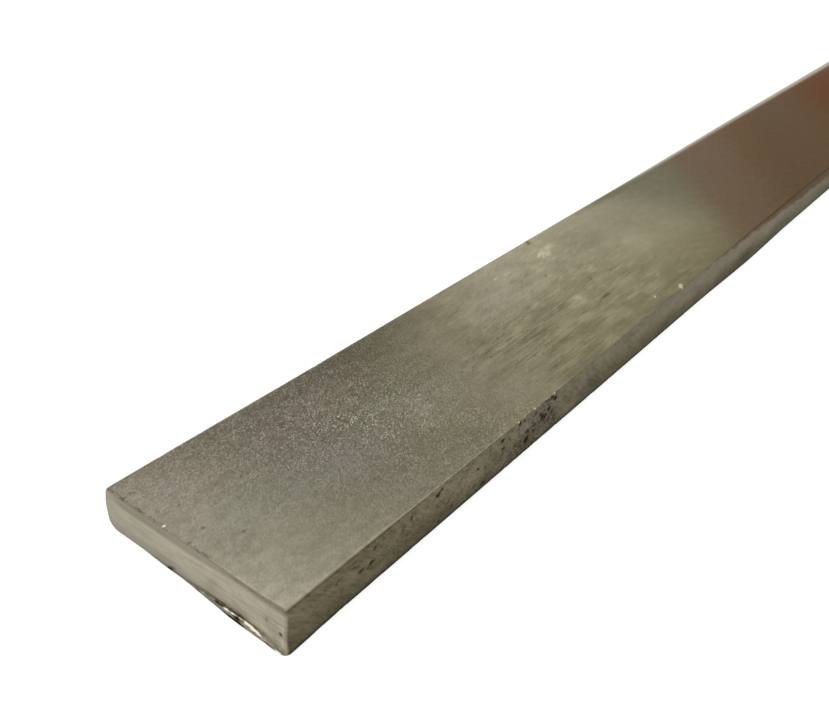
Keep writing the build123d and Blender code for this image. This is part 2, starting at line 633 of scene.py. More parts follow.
def dress_bar():
    """The bar's skin: the section carried along the stations, closed by two sawn ends.

    Near the ends each ring is drawn in by scaling it towards the middle of the section.
    Then its points move along the way that they face, and sideways. Near the near end
    the outline changes from the one with the crisp corner to the one with the blunt.
    """
    outline, facing = section_outline(CRISP_CORNER)
    blunting = section_outline(BLUNT_CORNER)[0] - outline
    distance, drawn_in = stations()
    columns, rings = len(outline), len(distance)
    arc = np.concatenate([[0], np.cumsum(np.linalg.norm(np.diff(outline, axis=0), axis=1))])
    along = distance[:, None]
    y, z = outline[None, :, 0], outline[None, :, 1]

    narrow = np.where(facing[:, 0] < 0, eased(-facing[:, 0], 0.45, 0.90), eased(facing[:, 0], 0.70, 0.95))
    named_side = scale_pits(along, z, pit_list(11, True)) * (y < 0)
    other_side = scale_pits(along, z, pit_list(29, False)) * (y > 0)
    pitted = (named_side + other_side) * narrow
    moved = moved_out(along, arc, y, facing, pitted)
    drawn_y, drawn_z, set_back = worn_ends(along, drawn_in, arc, y, z)
    leaning = foot_leaning(y, z) * eased(along, LEAN_LENGTH, 0)
    blunted = eased(along, CRISP_START, BLUNT_LENGTH)

    points = np.empty((rings, columns, 3))
    middle_z = THICKNESS / 2
    points[..., 0] = NEAR_END + along + set_back - leaning
    points[..., 1] = y * (1 - drawn_y / (WIDTH / 2)) + facing[None, :, 0] * moved
    points[..., 1] += moved_sideways(along, y, z) + blunted * blunting[:, 0]
    points[..., 2] = np.maximum(z - (z - middle_z) * drawn_z / middle_z + facing[None, :, 1] * moved, 0)
    points[..., 2] += blunted * blunting[:, 1]

    count = rings * columns
    near_points, near_faces, near_spread = end_patch(points[0], 0, count, -1)
    first_far = count + len(near_points)
    far_points, far_faces, far_spread = end_patch(points[-1], count - columns, first_far, 1)
    all_points = np.concatenate([points.reshape(-1, 3), near_points, far_points])
    all_faces = np.concatenate([tube_faces(rings, columns), near_faces, far_faces])
    skin = add_mesh("flat_bar_skin", all_points, all_faces)
    lay_map(skin, outline, arc, distance, drawn_in, (near_spread, far_spread))

    x_mm, y_mm, z_mm = along / MM, y / MM, z / MM
    side_tones = marked(x_mm, z_mm, SIDE_STAINS) - marked(x_mm, z_mm, SIDE_PALE)
    end_stains = marked(near_points[:, 1] / MM, near_points[:, 2] / MM, END_STAINS)
    for name, values, at_near_end, at_far_end in (
        ("narrow", narrow, 0, 0),
        ("pitted", pitted, 0, 0),
        ("toned", marked(x_mm, y_mm, PALE_AREAS) - marked(x_mm, y_mm, DULL_AREAS), 0, 0),
        ("greened", marked(x_mm, y_mm, GREEN_TINTS), 0, 0),
        ("mauved", marked(x_mm, y_mm, MAUVE_TINTS), 0, 0),
        ("grimed", side_tones * (y < 0), 0, 0),
        ("scaled", marked(x_mm, z_mm, SIDE_SCALE) * (y < 0), 0, 0),
        ("sawn", eased(np.minimum(along, LENGTH - along), 0.6 * ROUNDED_END, 0), 1, 1),
        ("stained", marked(y_mm, z_mm, END_STAINS) * (along < ROUNDED_END + 0.1 * MM), end_stains, 0),
    ):
        on_rings = np.broadcast_to(values, (rings, columns)).ravel()
        on_near_end = np.broadcast_to(at_near_end, len(near_points))
        on_far_end = np.broadcast_to(at_far_end, len(far_points))
        add_values(skin, name, np.concatenate([on_rings, on_near_end, on_far_end]))
    return skin


# The burr along the bottom of the near end
BURR_START = 11.0 * MM  # where it begins across the bar
BURR_END = -14.94 * MM  # and where it ends, at the -Y corner
BURR_FIRST_REACH = 0.10 * MM  # how far it stands out once its first stage is full
BURR_MORE_REACH = 0.53 * MM  # and how much further once its second stage is full
BURR_SECOND_START = 3 * MM  # where across the bar the second stage begins
BURR_SECOND_FULL = -8.5 * MM  # and where it is full
BURR_ROOT = 0.36 * MM  # its height at the root
BURR_RINGS = 280
BURR_COLUMNS = 24
BURR_HIDDEN = 0.08 * MM  # how deep its root lies in the end
BURR_CRINKLE = 0.03 * MM
BURR_FOLD_DEPTH = 0.05 * MM
BURR_LEAST_REACH = 0.12 * MM  # how far it stands out at least, once it has grown
BURR_HELD_BACK = 0.14 * MM  # how far its tip starts inside the end, on the +Y side
BURR_NARROWING_START = 13.4  # its reach narrows from this far out from the bar's middle, in mm
BURR_NARROWING = 1.6  # over this length, in mm
BURR_ROUNDING_START = 14.1  # and its tip rounds off in the same way
BURR_ROUNDING = 0.88
# Its facets, with painted highlights, and its folds, with painted shade in them and along its root: across
# the bar in mm, share of the way out, half sizes, strength
BURR_FACETS = (
    (-2.6, 0.60, 1.40, 0.22, 0.15),
    (-5.4, 0.44, 0.55, 0.14, 0.75),
    (-6.5, 0.40, 0.35, 0.12, 0.80),
    (-7.9, 0.36, 0.55, 0.10, 0.65),
    (-9.0, 0.38, 0.75, 0.15, 1.5),
    (-10.0, 0.46, 0.70, 0.13, 1.5),
    (-10.8, 0.52, 0.35, 0.10, 1.2),
    (-12.0, 0.55, 0.60, 0.10, 0.4),
    (-13.8, 0.86, 0.45, 0.13, 1.5),
)
BURR_FOLDS = (
    (4.1, 0.60, 0.40, 0.60, 1.4),
    (-0.5, 0.95, 2.50, 0.20, 0.6),
    (-6.8, 0.06, 3.40, 0.09, 1.1),
    (-4.2, 0.32, 0.80, 0.22, 1.0),
    (-5.9, 0.42, 0.22, 0.20, 0.7),
    (-7.2, 0.50, 0.45, 0.26, 0.9),
    (-6.9, 0.86, 2.10, 0.13, 1.1),
    (-10.4, 0.14, 1.40, 0.06, 0.6),
    (-12.9, 0.40, 1.00, 0.12, 0.35),
)


def dress_burr():
    """The burr that the saw pushed out: a thin crinkled lip along the bottom edge of the near end.

    A flat loop is carried across the bar, from where the burr begins to the -Y corner.
    An angle turns once round the loop. Its cosine sets how far a point stands out,
    from the root inside the end to the tip, and its sine gives the thickness. The reach
    eases up from nothing in two stages, and is lessened where the end itself leans out.
    Towards the corner the reach narrows and the tip rounds off, both as an ellipse does.
    The root rises, and an uneven height crinkles the lip at its facets and folds.
    """
    across = np.linspace(BURR_START, BURR_END, BURR_RINGS)[:, None]
    angle = 2 * np.pi * (np.arange(BURR_COLUMNS)[None] + 0.5) / BURR_COLUMNS
    out = 0.5 - 0.5 * np.cos(angle)
    towards_corner = -across / MM
    narrowing = (towards_corner - BURR_NARROWING_START) / BURR_NARROWING
    narrowed = np.sqrt(1 - 0.5 * np.clip(narrowing, 0, 1) ** 2)
    rounding = np.clip((towards_corner - BURR_ROUNDING_START) / BURR_ROUNDING, 0, 0.98)
    rounded_off = np.sqrt(1 - rounding**2)

    first_stage = eased(across, BURR_START, BURR_SECOND_START)
    second_stage = eased(across, BURR_SECOND_START, BURR_SECOND_FULL)
    reach = (BURR_FIRST_REACH * first_stage + BURR_MORE_REACH * second_stage) * narrowed
    reach = reach * (1 + 0.04 * uneven(across / (2.3 * MM), 0 * across, 31, 2))
    leaning = foot_leaning(across, 0)
    least_reach = BURR_LEAST_REACH * eased(across, 2 * MM, -6 * MM)
    not_begun = BURR_HELD_BACK * (1 - eased(across, BURR_START, 6 * MM))
    reach = np.maximum(reach - 0.75 * leaning, least_reach) - not_begun
    tip = (reach + leaning) * rounded_off
    root = BURR_HIDDEN + 0.25 * MM * eased(across, -14.1 * MM, -14.9 * MM) - leaning * rounded_off

    facets = marked(across / MM, out, BURR_FACETS, 0.2, 1.6)
    folds = marked(across / MM, out, BURR_FOLDS, 0.2, 1.6)
    crinkle = BURR_CRINKLE * eased(facets + folds, 0, 1) * uneven(across / (0.6 * MM), 2 * out, 37, 2)
    crinkle = crinkle * eased(across, -14.4 * MM, -12 * MM)
    swell = BURR_ROOT * second_stage * (1 - out) ** 1.3 * eased(across, -15.2 * MM, -14.2 * MM)
    rise = swell + 0.06 * MM * (1 - out) + crinkle - BURR_FOLD_DEPTH * folds
    thickness = (0.12 - 0.07 * out) * MM
    lowest = 0.004 * MM + 0.01 * MM * out

    points = np.empty((BURR_RINGS, BURR_COLUMNS, 3))
    points[..., 0] = NEAR_END + root - out * (tip + root)
    points[..., 1] = across
    points[..., 2] = np.maximum(rise - 0.5 * thickness * np.sin(angle), lowest)
    step = np.arange(BURR_COLUMNS // 2 - 1)
    lid = np.stack([step, step + 1, BURR_COLUMNS - 2 - step, BURR_COLUMNS - 1 - step], 1)
    other_lid = lid[:, ::-1] + (BURR_RINGS - 1) * BURR_COLUMNS
    faces = np.concatenate([tube_faces(BURR_RINGS, BURR_COLUMNS), lid, other_lid])
    burr = add_mesh("saw_burr", points.reshape(-1, 3), faces)
    add_values(burr, "facet", facets)
    add_values(burr, "fold", folds)
    return burr


# ---------------------------------------------------------------- finishes


def written(red, green, blue):
    """A colour written from 0 to 255 as it should look, given as the amounts of light that Blender mixes."""
    shares = [value / 255 for value in (red, green, blue)]
    return (*[s / 12.92 if s <= 0.04045 else ((s + 0.055) / 1.055) ** 2.4 for s in shares], 1.0)


class Nodes:
    """Short calls that add nodes to one tree and return their first output."""

    def __init__(self, tree):
        self.tree = tree

    def add(self, kind, inputs, **settings):
        node = self.tree.nodes.new(kind)
        for name, value in settings.items():
            setattr(node, name, value)
        for name, value in inputs.items():
            if isinstance(value, bpy.types.NodeSocket):
                self.tree.links.new(value, node.inputs[name])
            else:
                node.inputs[name].default_value = value
        return node

    def math(self, operation, first, second=0.0):
        return self.add("ShaderNodeMath", {0: first, 1: second}, operation=operation).outputs[0]

    def sum(self, *values):
        total = values[0]
        for value in values[1:]:
            total = self.math("ADD", total, value)
        return total

    def product(self, *values):
        total = values[0]
        for value in values[1:]:
            total = self.math("MULTIPLY", total, value)
        return total

    def eased(self, value, low, high, to_low=0.0, to_high=1.0):
        """A cubic ease of value from low to high, given out between to_low and to_high."""
        inputs = {"Value": value, "From Min": low, "From Max": high, "To Min": to_low, "To Max": to_high}
        return self.add("ShaderNodeMapRange", inputs, interpolation_type="SMOOTHSTEP").outputs[0]

    def mixed(self, share, first, second):
        return self.add("ShaderNodeMix", {0: share, 6: first, 7: second}, data_type="RGBA").outputs[2]

    def read(self, name):
        """The value that the mesh's points carry under a name."""
        return self.add("ShaderNodeAttribute", {}, attribute_name=name).outputs["Fac"]

    def turned(self, place, middle, size, angle, tilt=0.0):
        """Places counted from a middle in units of a size.

        Their axes are turned by the angle and tilted by the tilt, both in degrees.
        """
        turn = (0, math.radians(tilt), math.radians(angle))
        inputs = {"Vector": place, "Location": middle, "Rotation": turn, "Scale": size}
        return self.add("ShaderNodeMapping", inputs, vector_type="TEXTURE").outputs[0]

    def noise(self, place, pitch, detail=2.0, roughness=0.5, shift=0.0, angle=0.0, tilt=0.0):
        """Smooth noise whose pitch is given in millimetres along X, Y and Z.

        A shift, in steps of 10 mm, keeps two noises of the same pitch from agreeing.
        """
        moved = self.turned(place, [shift * 10 * MM] * 3, [step * MM for step in pitch], angle, tilt)
        inputs = {"Vector": moved, "Scale": 1.0, "Detail": detail, "Roughness": roughness}
        return self.add("ShaderNodeTexNoise", inputs).outputs["Fac"]

    def pulled(self, place, pitch, reach):
        """Places moved about smoothly over X and Y.

        The pitch of the moves and twice their greatest length are given in millimetres.
        """
        moved = self.turned(place, (0, 0, 0), (pitch[0] * MM, pitch[1] * MM, MM), 0)
        pull = self.add("ShaderNodeTexNoise", {"Vector": moved, "Scale": 1.0, "Detail": 2.0}).outputs["Color"]
        middle = (0.5, 0.5, 0.5)
        pull = self.add("ShaderNodeVectorMath", {0: pull, 1: middle}, operation="SUBTRACT").outputs[0]
        reach = (reach[0] * MM, reach[1] * MM, 0)
        pull = self.add("ShaderNodeVectorMath", {0: pull, 1: reach}, operation="MULTIPLY").outputs[0]
        return self.add("ShaderNodeVectorMath", {0: place, 1: pull}, operation="ADD").outputs[0]

    def specks(self, place, pitch, angle):
        """Round specks of random strength, one in each cell of an uneven grid over X and Y."""
        moved = self.turned(place, (0, 0, 0), (pitch[0] * MM, pitch[1] * MM, 1), angle)
        cells = self.add("ShaderNodeTexVoronoi", {"Vector": moved, "Scale": 1.0}, voronoi_dimensions="2D")
        chance = self.add("ShaderNodeSeparateColor", {"Color": cells.outputs["Color"]}).outputs[0]
        return self.product(self.eased(cells.outputs["Distance"], 0.50, 0.12), self.eased(chance, 0.34, 0.96))

    def spots(self, place, marks):
        """How strongly each place on the top is marked: each mark is an ellipse, full in its middle."""
        strongest = None
        for x, y, half_length, half_width, angle, strength in marks:
            size = (half_length * MM, half_width * MM, 1)
            moved = self.turned(place, (NEAR_END + x * MM, y * MM, 0), size, angle)
            ellipse = self.add("ShaderNodeTexGradient", {"Vector": moved}, gradient_type="SPHERICAL")
            spot = self.product(ellipse.outputs["Fac"], strength)
            strongest = spot if strongest is None else self.math("MAXIMUM", strongest, spot)
        return strongest


# Marks on the top, in mm: from the near end, across the bar, half length, half width,
# the angle of its length to the bar in degrees, strength
SCRAPES = (
    (85.3, 9.2, 2.8, 1.6, 10, 1.3),
    (87.9, 10.1, 2.4, 0.8, 18, 1.0),
    (82.2, 9.8, 1.6, 0.9, 10, 0.8),
    (84.4, 7.1, 2.4, 1.0, 10, 0.55),
    (72.2, 10.2, 1.3, 0.5, 22, 1.2),
    (75.1, 9.6, 2.4, 1.3, 0, 0.6),
    (77.4, 9.6, 1.3, 0.8, 0, 0.6),
    (66.0, 9.9, 3.0, 0.9, 0, 0.4),
    (80.0, 6.0, 3.0, 0.8, 10, 0.4),
    (75.2, -3.7, 1.9, 1.9, 0, 0.85),
    (74.6, -4.9, 2.6, 1.1, 0, 0.8),
    (68.4, -5.0, 2.4, 0.6, 0, 0.65),
    (64.6, -5.2, 1.6, 0.4, 0, 0.5),
    (79.3, 2.3, 2.0, 1.2, 10, 0.5),
    (80.3, 0.4, 1.3, 0.5, 5, 0.6),
    (75.0, 0.4, 1.6, 0.5, 0, 0.5),
    (88.4, -3.5, 1.6, 0.7, 8, 0.9),
    (86.2, -3.7, 0.9, 0.4, 0, 0.7),
    (71.8, -2.5, 0.6, 0.4, 0, 0.8),
    (83.3, -12.8, 1.1, 0.5, 25, 0.9),
    (89.3, -14.2, 1.5, 0.8, 28, 0.9),
    (81.5, -9.8, 3.0, 0.45, 0, 0.6),
    (86.5, -10.2, 1.8, 0.6, -8, 0.7),
    (90.6, -9.5, 1.8, 0.7, 15, 0.6),
    (99.5, -10.0, 2.0, 0.7, 10, 0.6),
    (97.0, -3.4, 3.0, 1.2, 0, 0.35),
    (99.0, 0.6, 2.4, 1.6, 30, 0.4),
)
DENTS = (
    (57.0, -2.7, 2.2, 1.1, 0, 1.1),
    (78.9, -6.4, 2.2, 0.9, 5, 1.4),
    (80.0, -5.2, 2.2, 1.2, 25, 0.6),
    (82.2, -1.7, 1.7, 0.6, 15, 1.1),
    (76.7, -0.4, 1.2, 0.6, 0, 0.9),
    (87.3, -2.6, 1.1, 0.5, 12, 0.8),
    (86.8, -4.6, 0.7, 1.9, 0, 0.5),
    (78.5, -3.9, 2.0, 1.5, 0, 0.45),
    (87.1, 13.5, 1.7, 0.8, 28, 1.5),
    (71.4, -6.4, 4.2, 1.0, 0, 0.9),
    (75.5, -7.0, 3.0, 0.8, 0, 0.6),
    (83.6, -8.9, 2.6, 0.5, -5, 0.9),
    (78.0, -8.9, 5.0, 0.4, 0, 0.5),
    (82.4, -11.4, 1.8, 1.6, 0, 0.7),
    (93.0, -12.6, 8.5, 0.9, 0, 0.6),
    (63.0, -4.9, 1.4, 0.6, 0, 0.9),
    (63.2, -6.1, 1.7, 0.7, 0, 0.9),
    (60.6, -3.2, 2.0, 0.9, 0, 0.8),
    (66.5, -2.4, 1.3, 0.9, 0, 0.8),
    (70.9, -2.8, 2.6, 1.6, 0, 0.65),
    (63.8, -11.3, 1.1, 0.5, 15, 0.9),
    (55.7, -11.5, 1.3, 0.4, 10, 0.8),
    (69.9, -12.6, 4.5, 0.6, 0, 0.6),
    (67.6, 0.5, 1.1, 0.6, 15, 0.9),
    (53.2, 2.1, 1.5, 0.8, 0, 0.8),
    (57.4, 2.6, 3.0, 1.2, 0, 0.55),
    (56.9, 4.6, 1.6, 1.0, 0, 0.6),
    (72.2, 3.1, 1.4, 0.6, 10, 0.8),
    (76.6, 7.1, 2.3, 1.0, 12, 0.7),
    (78.4, 4.4, 1.3, 0.4, 28, 0.9),
    (64.2, 10.7, 1.0, 0.4, 28, 0.7),
    (57.5, -4.1, 10.0, 0.35, 0, 0.6),
    (78.0, -5.7, 12.0, 0.35, 0, 0.6),
    (57.0, -7.6, 8.0, 0.40, 0, 0.8),
    (89.0, -7.5, 4.0, 0.7, 10, 0.5),
    (70.0, -10.3, 3.0, 0.6, 0, 0.6),
)
# Small sharp ones nearer the end, given in the same way
NICKS = (
    (0.3, 0.1, 0.42, 0.40, 0, 1.2),
    (0.3, -0.8, 0.36, 0.30, 0, 0.7),
    (1.3, 6.8, 0.45, 0.35, 0, 0.9),
    (3.5, 5.8, 0.40, 0.35, 0, 0.8),
    (2.8, 0.8, 0.42, 0.38, 0, 1.1),
    (5.2, -3.0, 0.45, 0.38, 0, 0.9),
    (2.1, 13.8, 0.50, 0.30, 0, 0.9),
    (1.5, 11.6, 0.70, 0.28, -50, 0.9),
    (0.4, 11.5, 0.45, 0.35, 0, 0.9),
    (46.5, 3.8, 0.50, 0.35, 0, 1.3),
    (46.0, -2.3, 0.45, 0.32, 0, 1.0),
    (51.8, -3.2, 0.60, 0.40, 0, 0.9),
)
# Painted highlights on the top and along its -Y corner, given in the same way
GLINTS = (
    (0.25, 4.3, 0.26, 0.22, 0, 2.5),
    (41.2, -14.88, 0.40, 0.06, 0, 0.6),
    (42.7, -14.87, 0.50, 0.05, 0, 0.45),
    (45.0, -14.87, 0.35, 0.06, 0, 0.8),
    (46.0, -14.88, 0.30, 0.05, 0, 0.6),
    (47.9, -14.86, 1.10, 0.04, 0, 0.5),
    (49.8, -14.87, 0.40, 0.06, 0, 0.7),
    (89.2, -14.4, 1.0, 0.42, 30, 1.6),
    (89.7, -14.1, 0.6, 0.30, -20, 1.3),
    (83.3, -12.8, 0.6, 0.24, 25, 0.9),
)
# The stretch where the specks are richest, given in the same way
RICH_AREA = ((27, 2, 20, 14, 0, 1.0),)

# Colours that several patterns share
STREAK_DARK = written(112, 106, 90)
STREAK_PALE = written(190, 184, 164)
LINE_DARK = written(104, 98, 82)
DENT_DARK = written(84, 78, 62)
# Painted shade on the sawn ends, low down and at the +Y edge
END_SHADE = written(118, 112, 98)


class BarNodes(Nodes):
    """The nodes of the bar's steel: where a point lies on the bar, and patterns that its looks share."""

    def __init__(self, tree):
        super().__init__(tree)
        self.place = self.add("ShaderNodeTexCoord", {}).outputs["Object"]
        parts = self.add("ShaderNodeSeparateXYZ", {"Vector": self.place}).outputs
        self.from_end = self.math("SUBTRACT", LENGTH / 2, self.math("ABSOLUTE", parts["X"]))
        self.across, self.height = parts["Y"], parts["Z"]
        self.above = self.eased(self.height, 5.55 * MM, 5.85 * MM)
        self.narrow, self.pitted = self.read("narrow"), self.read("pitted")
        self.sawn, self.stained = self.read("sawn"), self.read("stained")
        self.share_stretches()
        self.share_streaks()
        self.share_grain()
        self.share_narrow_patterns()
        self.saw_lines = self.noise(self.place, (8, 5, 0.28), detail=4, roughness=0.65)

    def share_stretches(self):
        """Where the wide faces are etched to a sparkling grain, and where rolling streaks show."""
        wander = self.math("SUBTRACT", self.noise(self.place, (20, 9, 9), detail=3), 0.5)
        wandered = self.sum(self.from_end, self.product(wander, 20 * MM), self.product(self.across, 0.15))
        slanted = self.sum(self.from_end, self.product(self.across, 0.8))
        self.near_fade = self.eased(slanted, -6 * MM, 36 * MM, 0.10, 1)
        self.grained = self.eased(wandered, 60 * MM, 34 * MM)
        self.etched = self.product(self.grained, self.near_fade)
        begun, ended = self.eased(wandered, 42 * MM, 56 * MM), self.eased(wandered, 108 * MM, 84 * MM)
        by_side = self.eased(self.across, 4 * MM, -4 * MM, 0.85, 1.15)
        self.streaky = self.product(self.product(begun, ended), by_side)

    def share_streaks(self):
        """Fine lines along the bar, slanting strokes, and dents whose strength both break up."""
        self.lines = self.noise(self.place, (5.0, 0.34, 0.34), detail=5, roughness=0.68)
        self.slanting = self.noise(self.place, (2.4, 0.70, 0.70), detail=5, roughness=0.62, angle=22)
        by_lines = self.eased(self.lines, 0.36, 0.62, 0, 0.5)
        self.broken = self.sum(by_lines, self.eased(self.slanting, 0.36, 0.62, 0, 0.5))
        unbroken = self.math("SUBTRACT", 1.0, self.broken)
        self.pulled_about = self.pulled(self.place, (1.1, 0.6), (1.6, 0.9))
        strength = self.sum(0.45, self.product(unbroken, 1.1))
        dented = self.product(self.spots(self.pulled_about, DENTS), strength, self.above)
        self.dented = self.eased(dented, 0.0, 1.7)

    def share_grain(self):
        """The uneven peel of the etched grain, and bright specks of many sizes and strengths: painted sparkle
        highlights, which also raise the relief.
        """
        self.peel = self.noise(self.place, (0.46, 0.27, 0.27), detail=2.0, roughness=0.6, angle=38)
        wobbled = self.pulled(self.place, (0.6, 0.4), (0.5, 0.3))
        patchy = self.noise(self.place, (3.0, 2.0, 2.0), detail=2, shift=3)
        small = self.product(self.specks(wobbled, (0.25, 0.17), 38), 0.7)
        sparkle = self.sum(self.specks(wobbled, (0.42, 0.27), 38), small)
        rich = self.sum(0.68, self.product(self.spots(self.place, RICH_AREA), 0.6))
        self.sparkle = self.product(sparkle, self.etched, self.eased(patchy, 0.32, 0.64, 0.5, 1), rich)

    def share_narrow_patterns(self):
        """The narrow faces' mottle, ragged pits and the painted shade at their foot, and the brown that wraps
        them further on.
        """
        self.mottle = self.noise(self.place, (3.0, 3.0, 1.5), detail=5, roughness=0.62)
        self.ragged_pit = self.noise(self.place, (0.6, 0.6, 0.20), detail=4, roughness=0.7, tilt=40)
        frayed = self.product(self.math("SUBTRACT", self.ragged_pit, 0.5), 2.1)
        in_pit = self.sum(self.product(self.pitted, 1.3), frayed)
        self.in_pit = self.product(self.eased(in_pit, 0.10, 1.15), self.eased(self.pitted, 0.02, 0.25))
        # Painted shade at the foot of the narrow faces, where their corner mirrors the contact shadow on the
        # floor.
        low_down = self.eased(self.height, 0.9 * MM, 0.2 * MM)
        self.dirt = self.product(low_down, self.eased(self.ragged_pit, 0.25, 0.60, 0.5, 0.9))
        climbing = self.product(self.math("SUBTRACT", self.from_end, 100 * MM), 2.3 / 55)
        drawn_out = self.noise(self.place, (6.0, 6.0, 1.3), detail=2, roughness=0.5, tilt=30)
        wavering = self.product(self.math("SUBTRACT", drawn_out, 0.5), 2.2 * MM)
        self.wrapped = self.eased(self.sum(self.height, climbing, wavering), 4.1 * MM, 7.2 * MM)


def wide_tones(n):
    """The wide faces' ground: faint tints, broad lighter and darker areas of painted light and shade with the
    steel's uneven tone, and soft blotches near the ends.
    """
    toned = n.read("toned")
    wide = n.mixed(n.product(n.read("mauved"), 0.9), written(151, 146, 127), written(154, 144, 131))
    wide = n.mixed(n.product(n.read("greened"), 0.72), wide, written(146, 150, 126))
    yellowed = n.product(n.eased(n.across, -1 * MM, -7 * MM), n.eased(n.from_end, 2 * MM, 22 * MM, 0.2, 0.9))
    wide = n.mixed(yellowed, wide, written(153, 147, 123))
    olive = n.eased(n.sum(n.from_end, n.product(n.across, -1.6)), 30 * MM, 66 * MM)
    wide = n.mixed(n.product(olive, 0.8), wide, written(152, 147, 123))
    greyed = n.product(n.eased(n.from_end, 56 * MM, 72 * MM), n.eased(n.across, -3 * MM, 7 * MM), 0.85)
    wide = n.mixed(greyed, wide, written(152, 146, 130))
    # Painted light and shade, with the steel's uneven tone: the broad lighter and darker areas.
    wide = n.mixed(n.eased(toned, 0, 1, 0, 0.42), wide, written(184, 180, 171))
    wide = n.mixed(n.eased(toned, 0, -1.5, 0, 0.60), wide, written(112, 107, 92))
    blotch = n.noise(n.place, (2.4, 1.5, 1.5), detail=4, roughness=0.6)
    wide = n.mixed(n.eased(blotch, 0.50, 0.28, 0, 0.22), wide, written(118, 112, 97))
    return n.mixed(n.eased(blotch, 0.50, 0.72, 0, 0.22), wide, written(182, 176, 158))


def with_streaks(n, wide):
    """Rolling streaks: patches, fine lines along the bar, strokes mostly on the +Y half, and dark flecks."""
    patches = n.noise(n.place, (6, 2.2, 2.2), detail=3, roughness=0.55)
    wide = n.mixed(n.product(n.streaky, n.eased(patches, 0.50, 0.34), 0.30), wide, STREAK_DARK)
    wide = n.mixed(n.product(n.streaky, n.eased(patches, 0.50, 0.66), 0.34), wide, STREAK_PALE)
    by_side = n.eased(n.across, 6 * MM, 0, 0.45, 1)
    lengthways = n.product(n.streaky, by_side, n.eased(n.across, -13 * MM, -7 * MM, 0.6, 1))
    wide = n.mixed(n.product(lengthways, n.eased(n.lines, 0.48, 0.34), 0.54), wide, LINE_DARK)
    wide = n.mixed(n.product(lengthways, n.eased(n.lines, 0.53, 0.67), 0.38), wide, STREAK_PALE)
    sideways = n.product(n.streaky, n.eased(n.across, -8 * MM, 4 * MM, 0.15, 0.8))
    wide = n.mixed(n.product(sideways, n.eased(n.slanting, 0.49, 0.34), 0.36), wide, LINE_DARK)
    wide = n.mixed(n.product(sideways, n.eased(n.slanting, 0.53, 0.68), 0.28), wide, STREAK_PALE)
    flecks = n.noise(n.place, (0.9, 0.36, 0.36), detail=3, roughness=0.6, shift=6, angle=12)
    flecked = n.product(n.streaky, n.eased(n.from_end, 76 * MM, 62 * MM))
    flecked = n.product(flecked, n.eased(n.across, 9 * MM, 4 * MM), 0.55)
    return n.mixed(n.product(flecked, n.eased(flecks, 0.58, 0.70)), wide, DENT_DARK)


def with_dents(n, wide):
    """Dark dents in the streaked stretch, and small sharp nicks nearer the end."""
    wide = n.mixed(n.product(n.dented, 0.72), wide, DENT_DARK)
    nicked = n.product(n.eased(n.spots(n.place, NICKS), 0.1, 0.8), n.above)
    return n.mixed(n.product(nicked, 0.6), wide, written(84, 78, 64))


def with_grain(n, wide):
    """The etched grain: an uneven peel and soft spots, with bright specks over them that are painted sparkle
    highlights.
    """
    calm = n.product(n.eased(n.across, -2 * MM, -9 * MM), n.eased(n.from_end, 20 * MM, 34 * MM), -0.5)
    peeled = n.product(n.grained, n.eased(n.near_fade, 0.10, 0.9, 0.26, 1), n.sum(1.0, calm))
    wide = n.mixed(n.product(peeled, n.eased(n.peel, 0.50, 0.66), 0.28), wide, written(210, 204, 188))
    wide = n.mixed(n.product(peeled, n.eased(n.peel, 0.50, 0.34), 0.47), wide, written(88, 83, 71))
    soft_spots = n.noise(n.place, (1.3, 1.0, 1.0), detail=2, shift=9)
    wide = n.mixed(n.product(n.grained, n.eased(soft_spots, 0.50, 0.68), 0.10), wide, written(206, 200, 184))
    wide = n.mixed(n.product(n.grained, n.eased(soft_spots, 0.50, 0.32), 0.14), wide, written(98, 93, 81))
    # Painted sparkle highlights.
    return n.mixed(n.math("MINIMUM", n.product(n.sparkle, 0.68), 1.0), wide, written(240, 235, 220))


def narrow_colour(n):
    """The narrow faces: duller and darker, partly by their finish and partly as painted shade for faces
    turned from the light, with darker and paler patches, scale left in the pits and painted shade towards the
    bottom.
    """
    scaled, grimed = n.read("scaled"), n.read("grimed")
    # Darker than the wide faces: partly a duller finish, partly painted shade for faces turned from the
    # light.
    dull = n.mixed(n.eased(n.mottle, 0.36, 0.64), written(92, 88, 62), written(107, 97, 75))
    strokes = n.noise(n.place, (1.8, 1.8, 0.42), detail=4, roughness=0.66, tilt=40)
    near = n.eased(n.from_end, 90 * MM, 50 * MM, 0.55, 1)
    dull = n.mixed(n.product(near, n.eased(strokes, 0.50, 0.34), 0.46), dull, written(62, 57, 36))
    dull = n.mixed(n.product(near, n.eased(strokes, 0.50, 0.68), 0.25), dull, written(142, 134, 104))
    dull = n.mixed(n.product(scaled, 0.35), dull, written(112, 100, 86))
    dull = n.mixed(n.wrapped, dull, written(104, 86, 65))
    # Painted shade: darker towards the bottom of the narrow faces.
    dull = n.mixed(n.eased(n.height, 3.6 * MM, 0.6 * MM, 0, 0.22), dull, written(66, 59, 44))
    grime = n.product(n.math("MAXIMUM", grimed, 0.0), n.eased(strokes, 0.65, 0.35, 0.5, 1), 0.6)
    dull = n.mixed(grime, dull, written(56, 50, 32))
    dull = n.mixed(n.eased(grimed, 0, -1, 0, 0.5), dull, written(140, 132, 108))
    dull = n.mixed(spotted_scale(n), dull, written(44, 36, 22))
    dull = n.mixed(n.product(n.in_pit, 0.88), dull, written(42, 33, 20))
    # The deepest pits go near black: scale, with painted shade in the hollows.
    deepest = n.product(n.eased(n.pitted, 0.8, 1.4, 0, 0.75), n.eased(n.ragged_pit, 0.3, 0.5))
    dull = n.mixed(deepest, dull, written(18, 12, 6))
    # Painted shade at the foot.
    return n.mixed(n.dirt, dull, written(40, 36, 28))


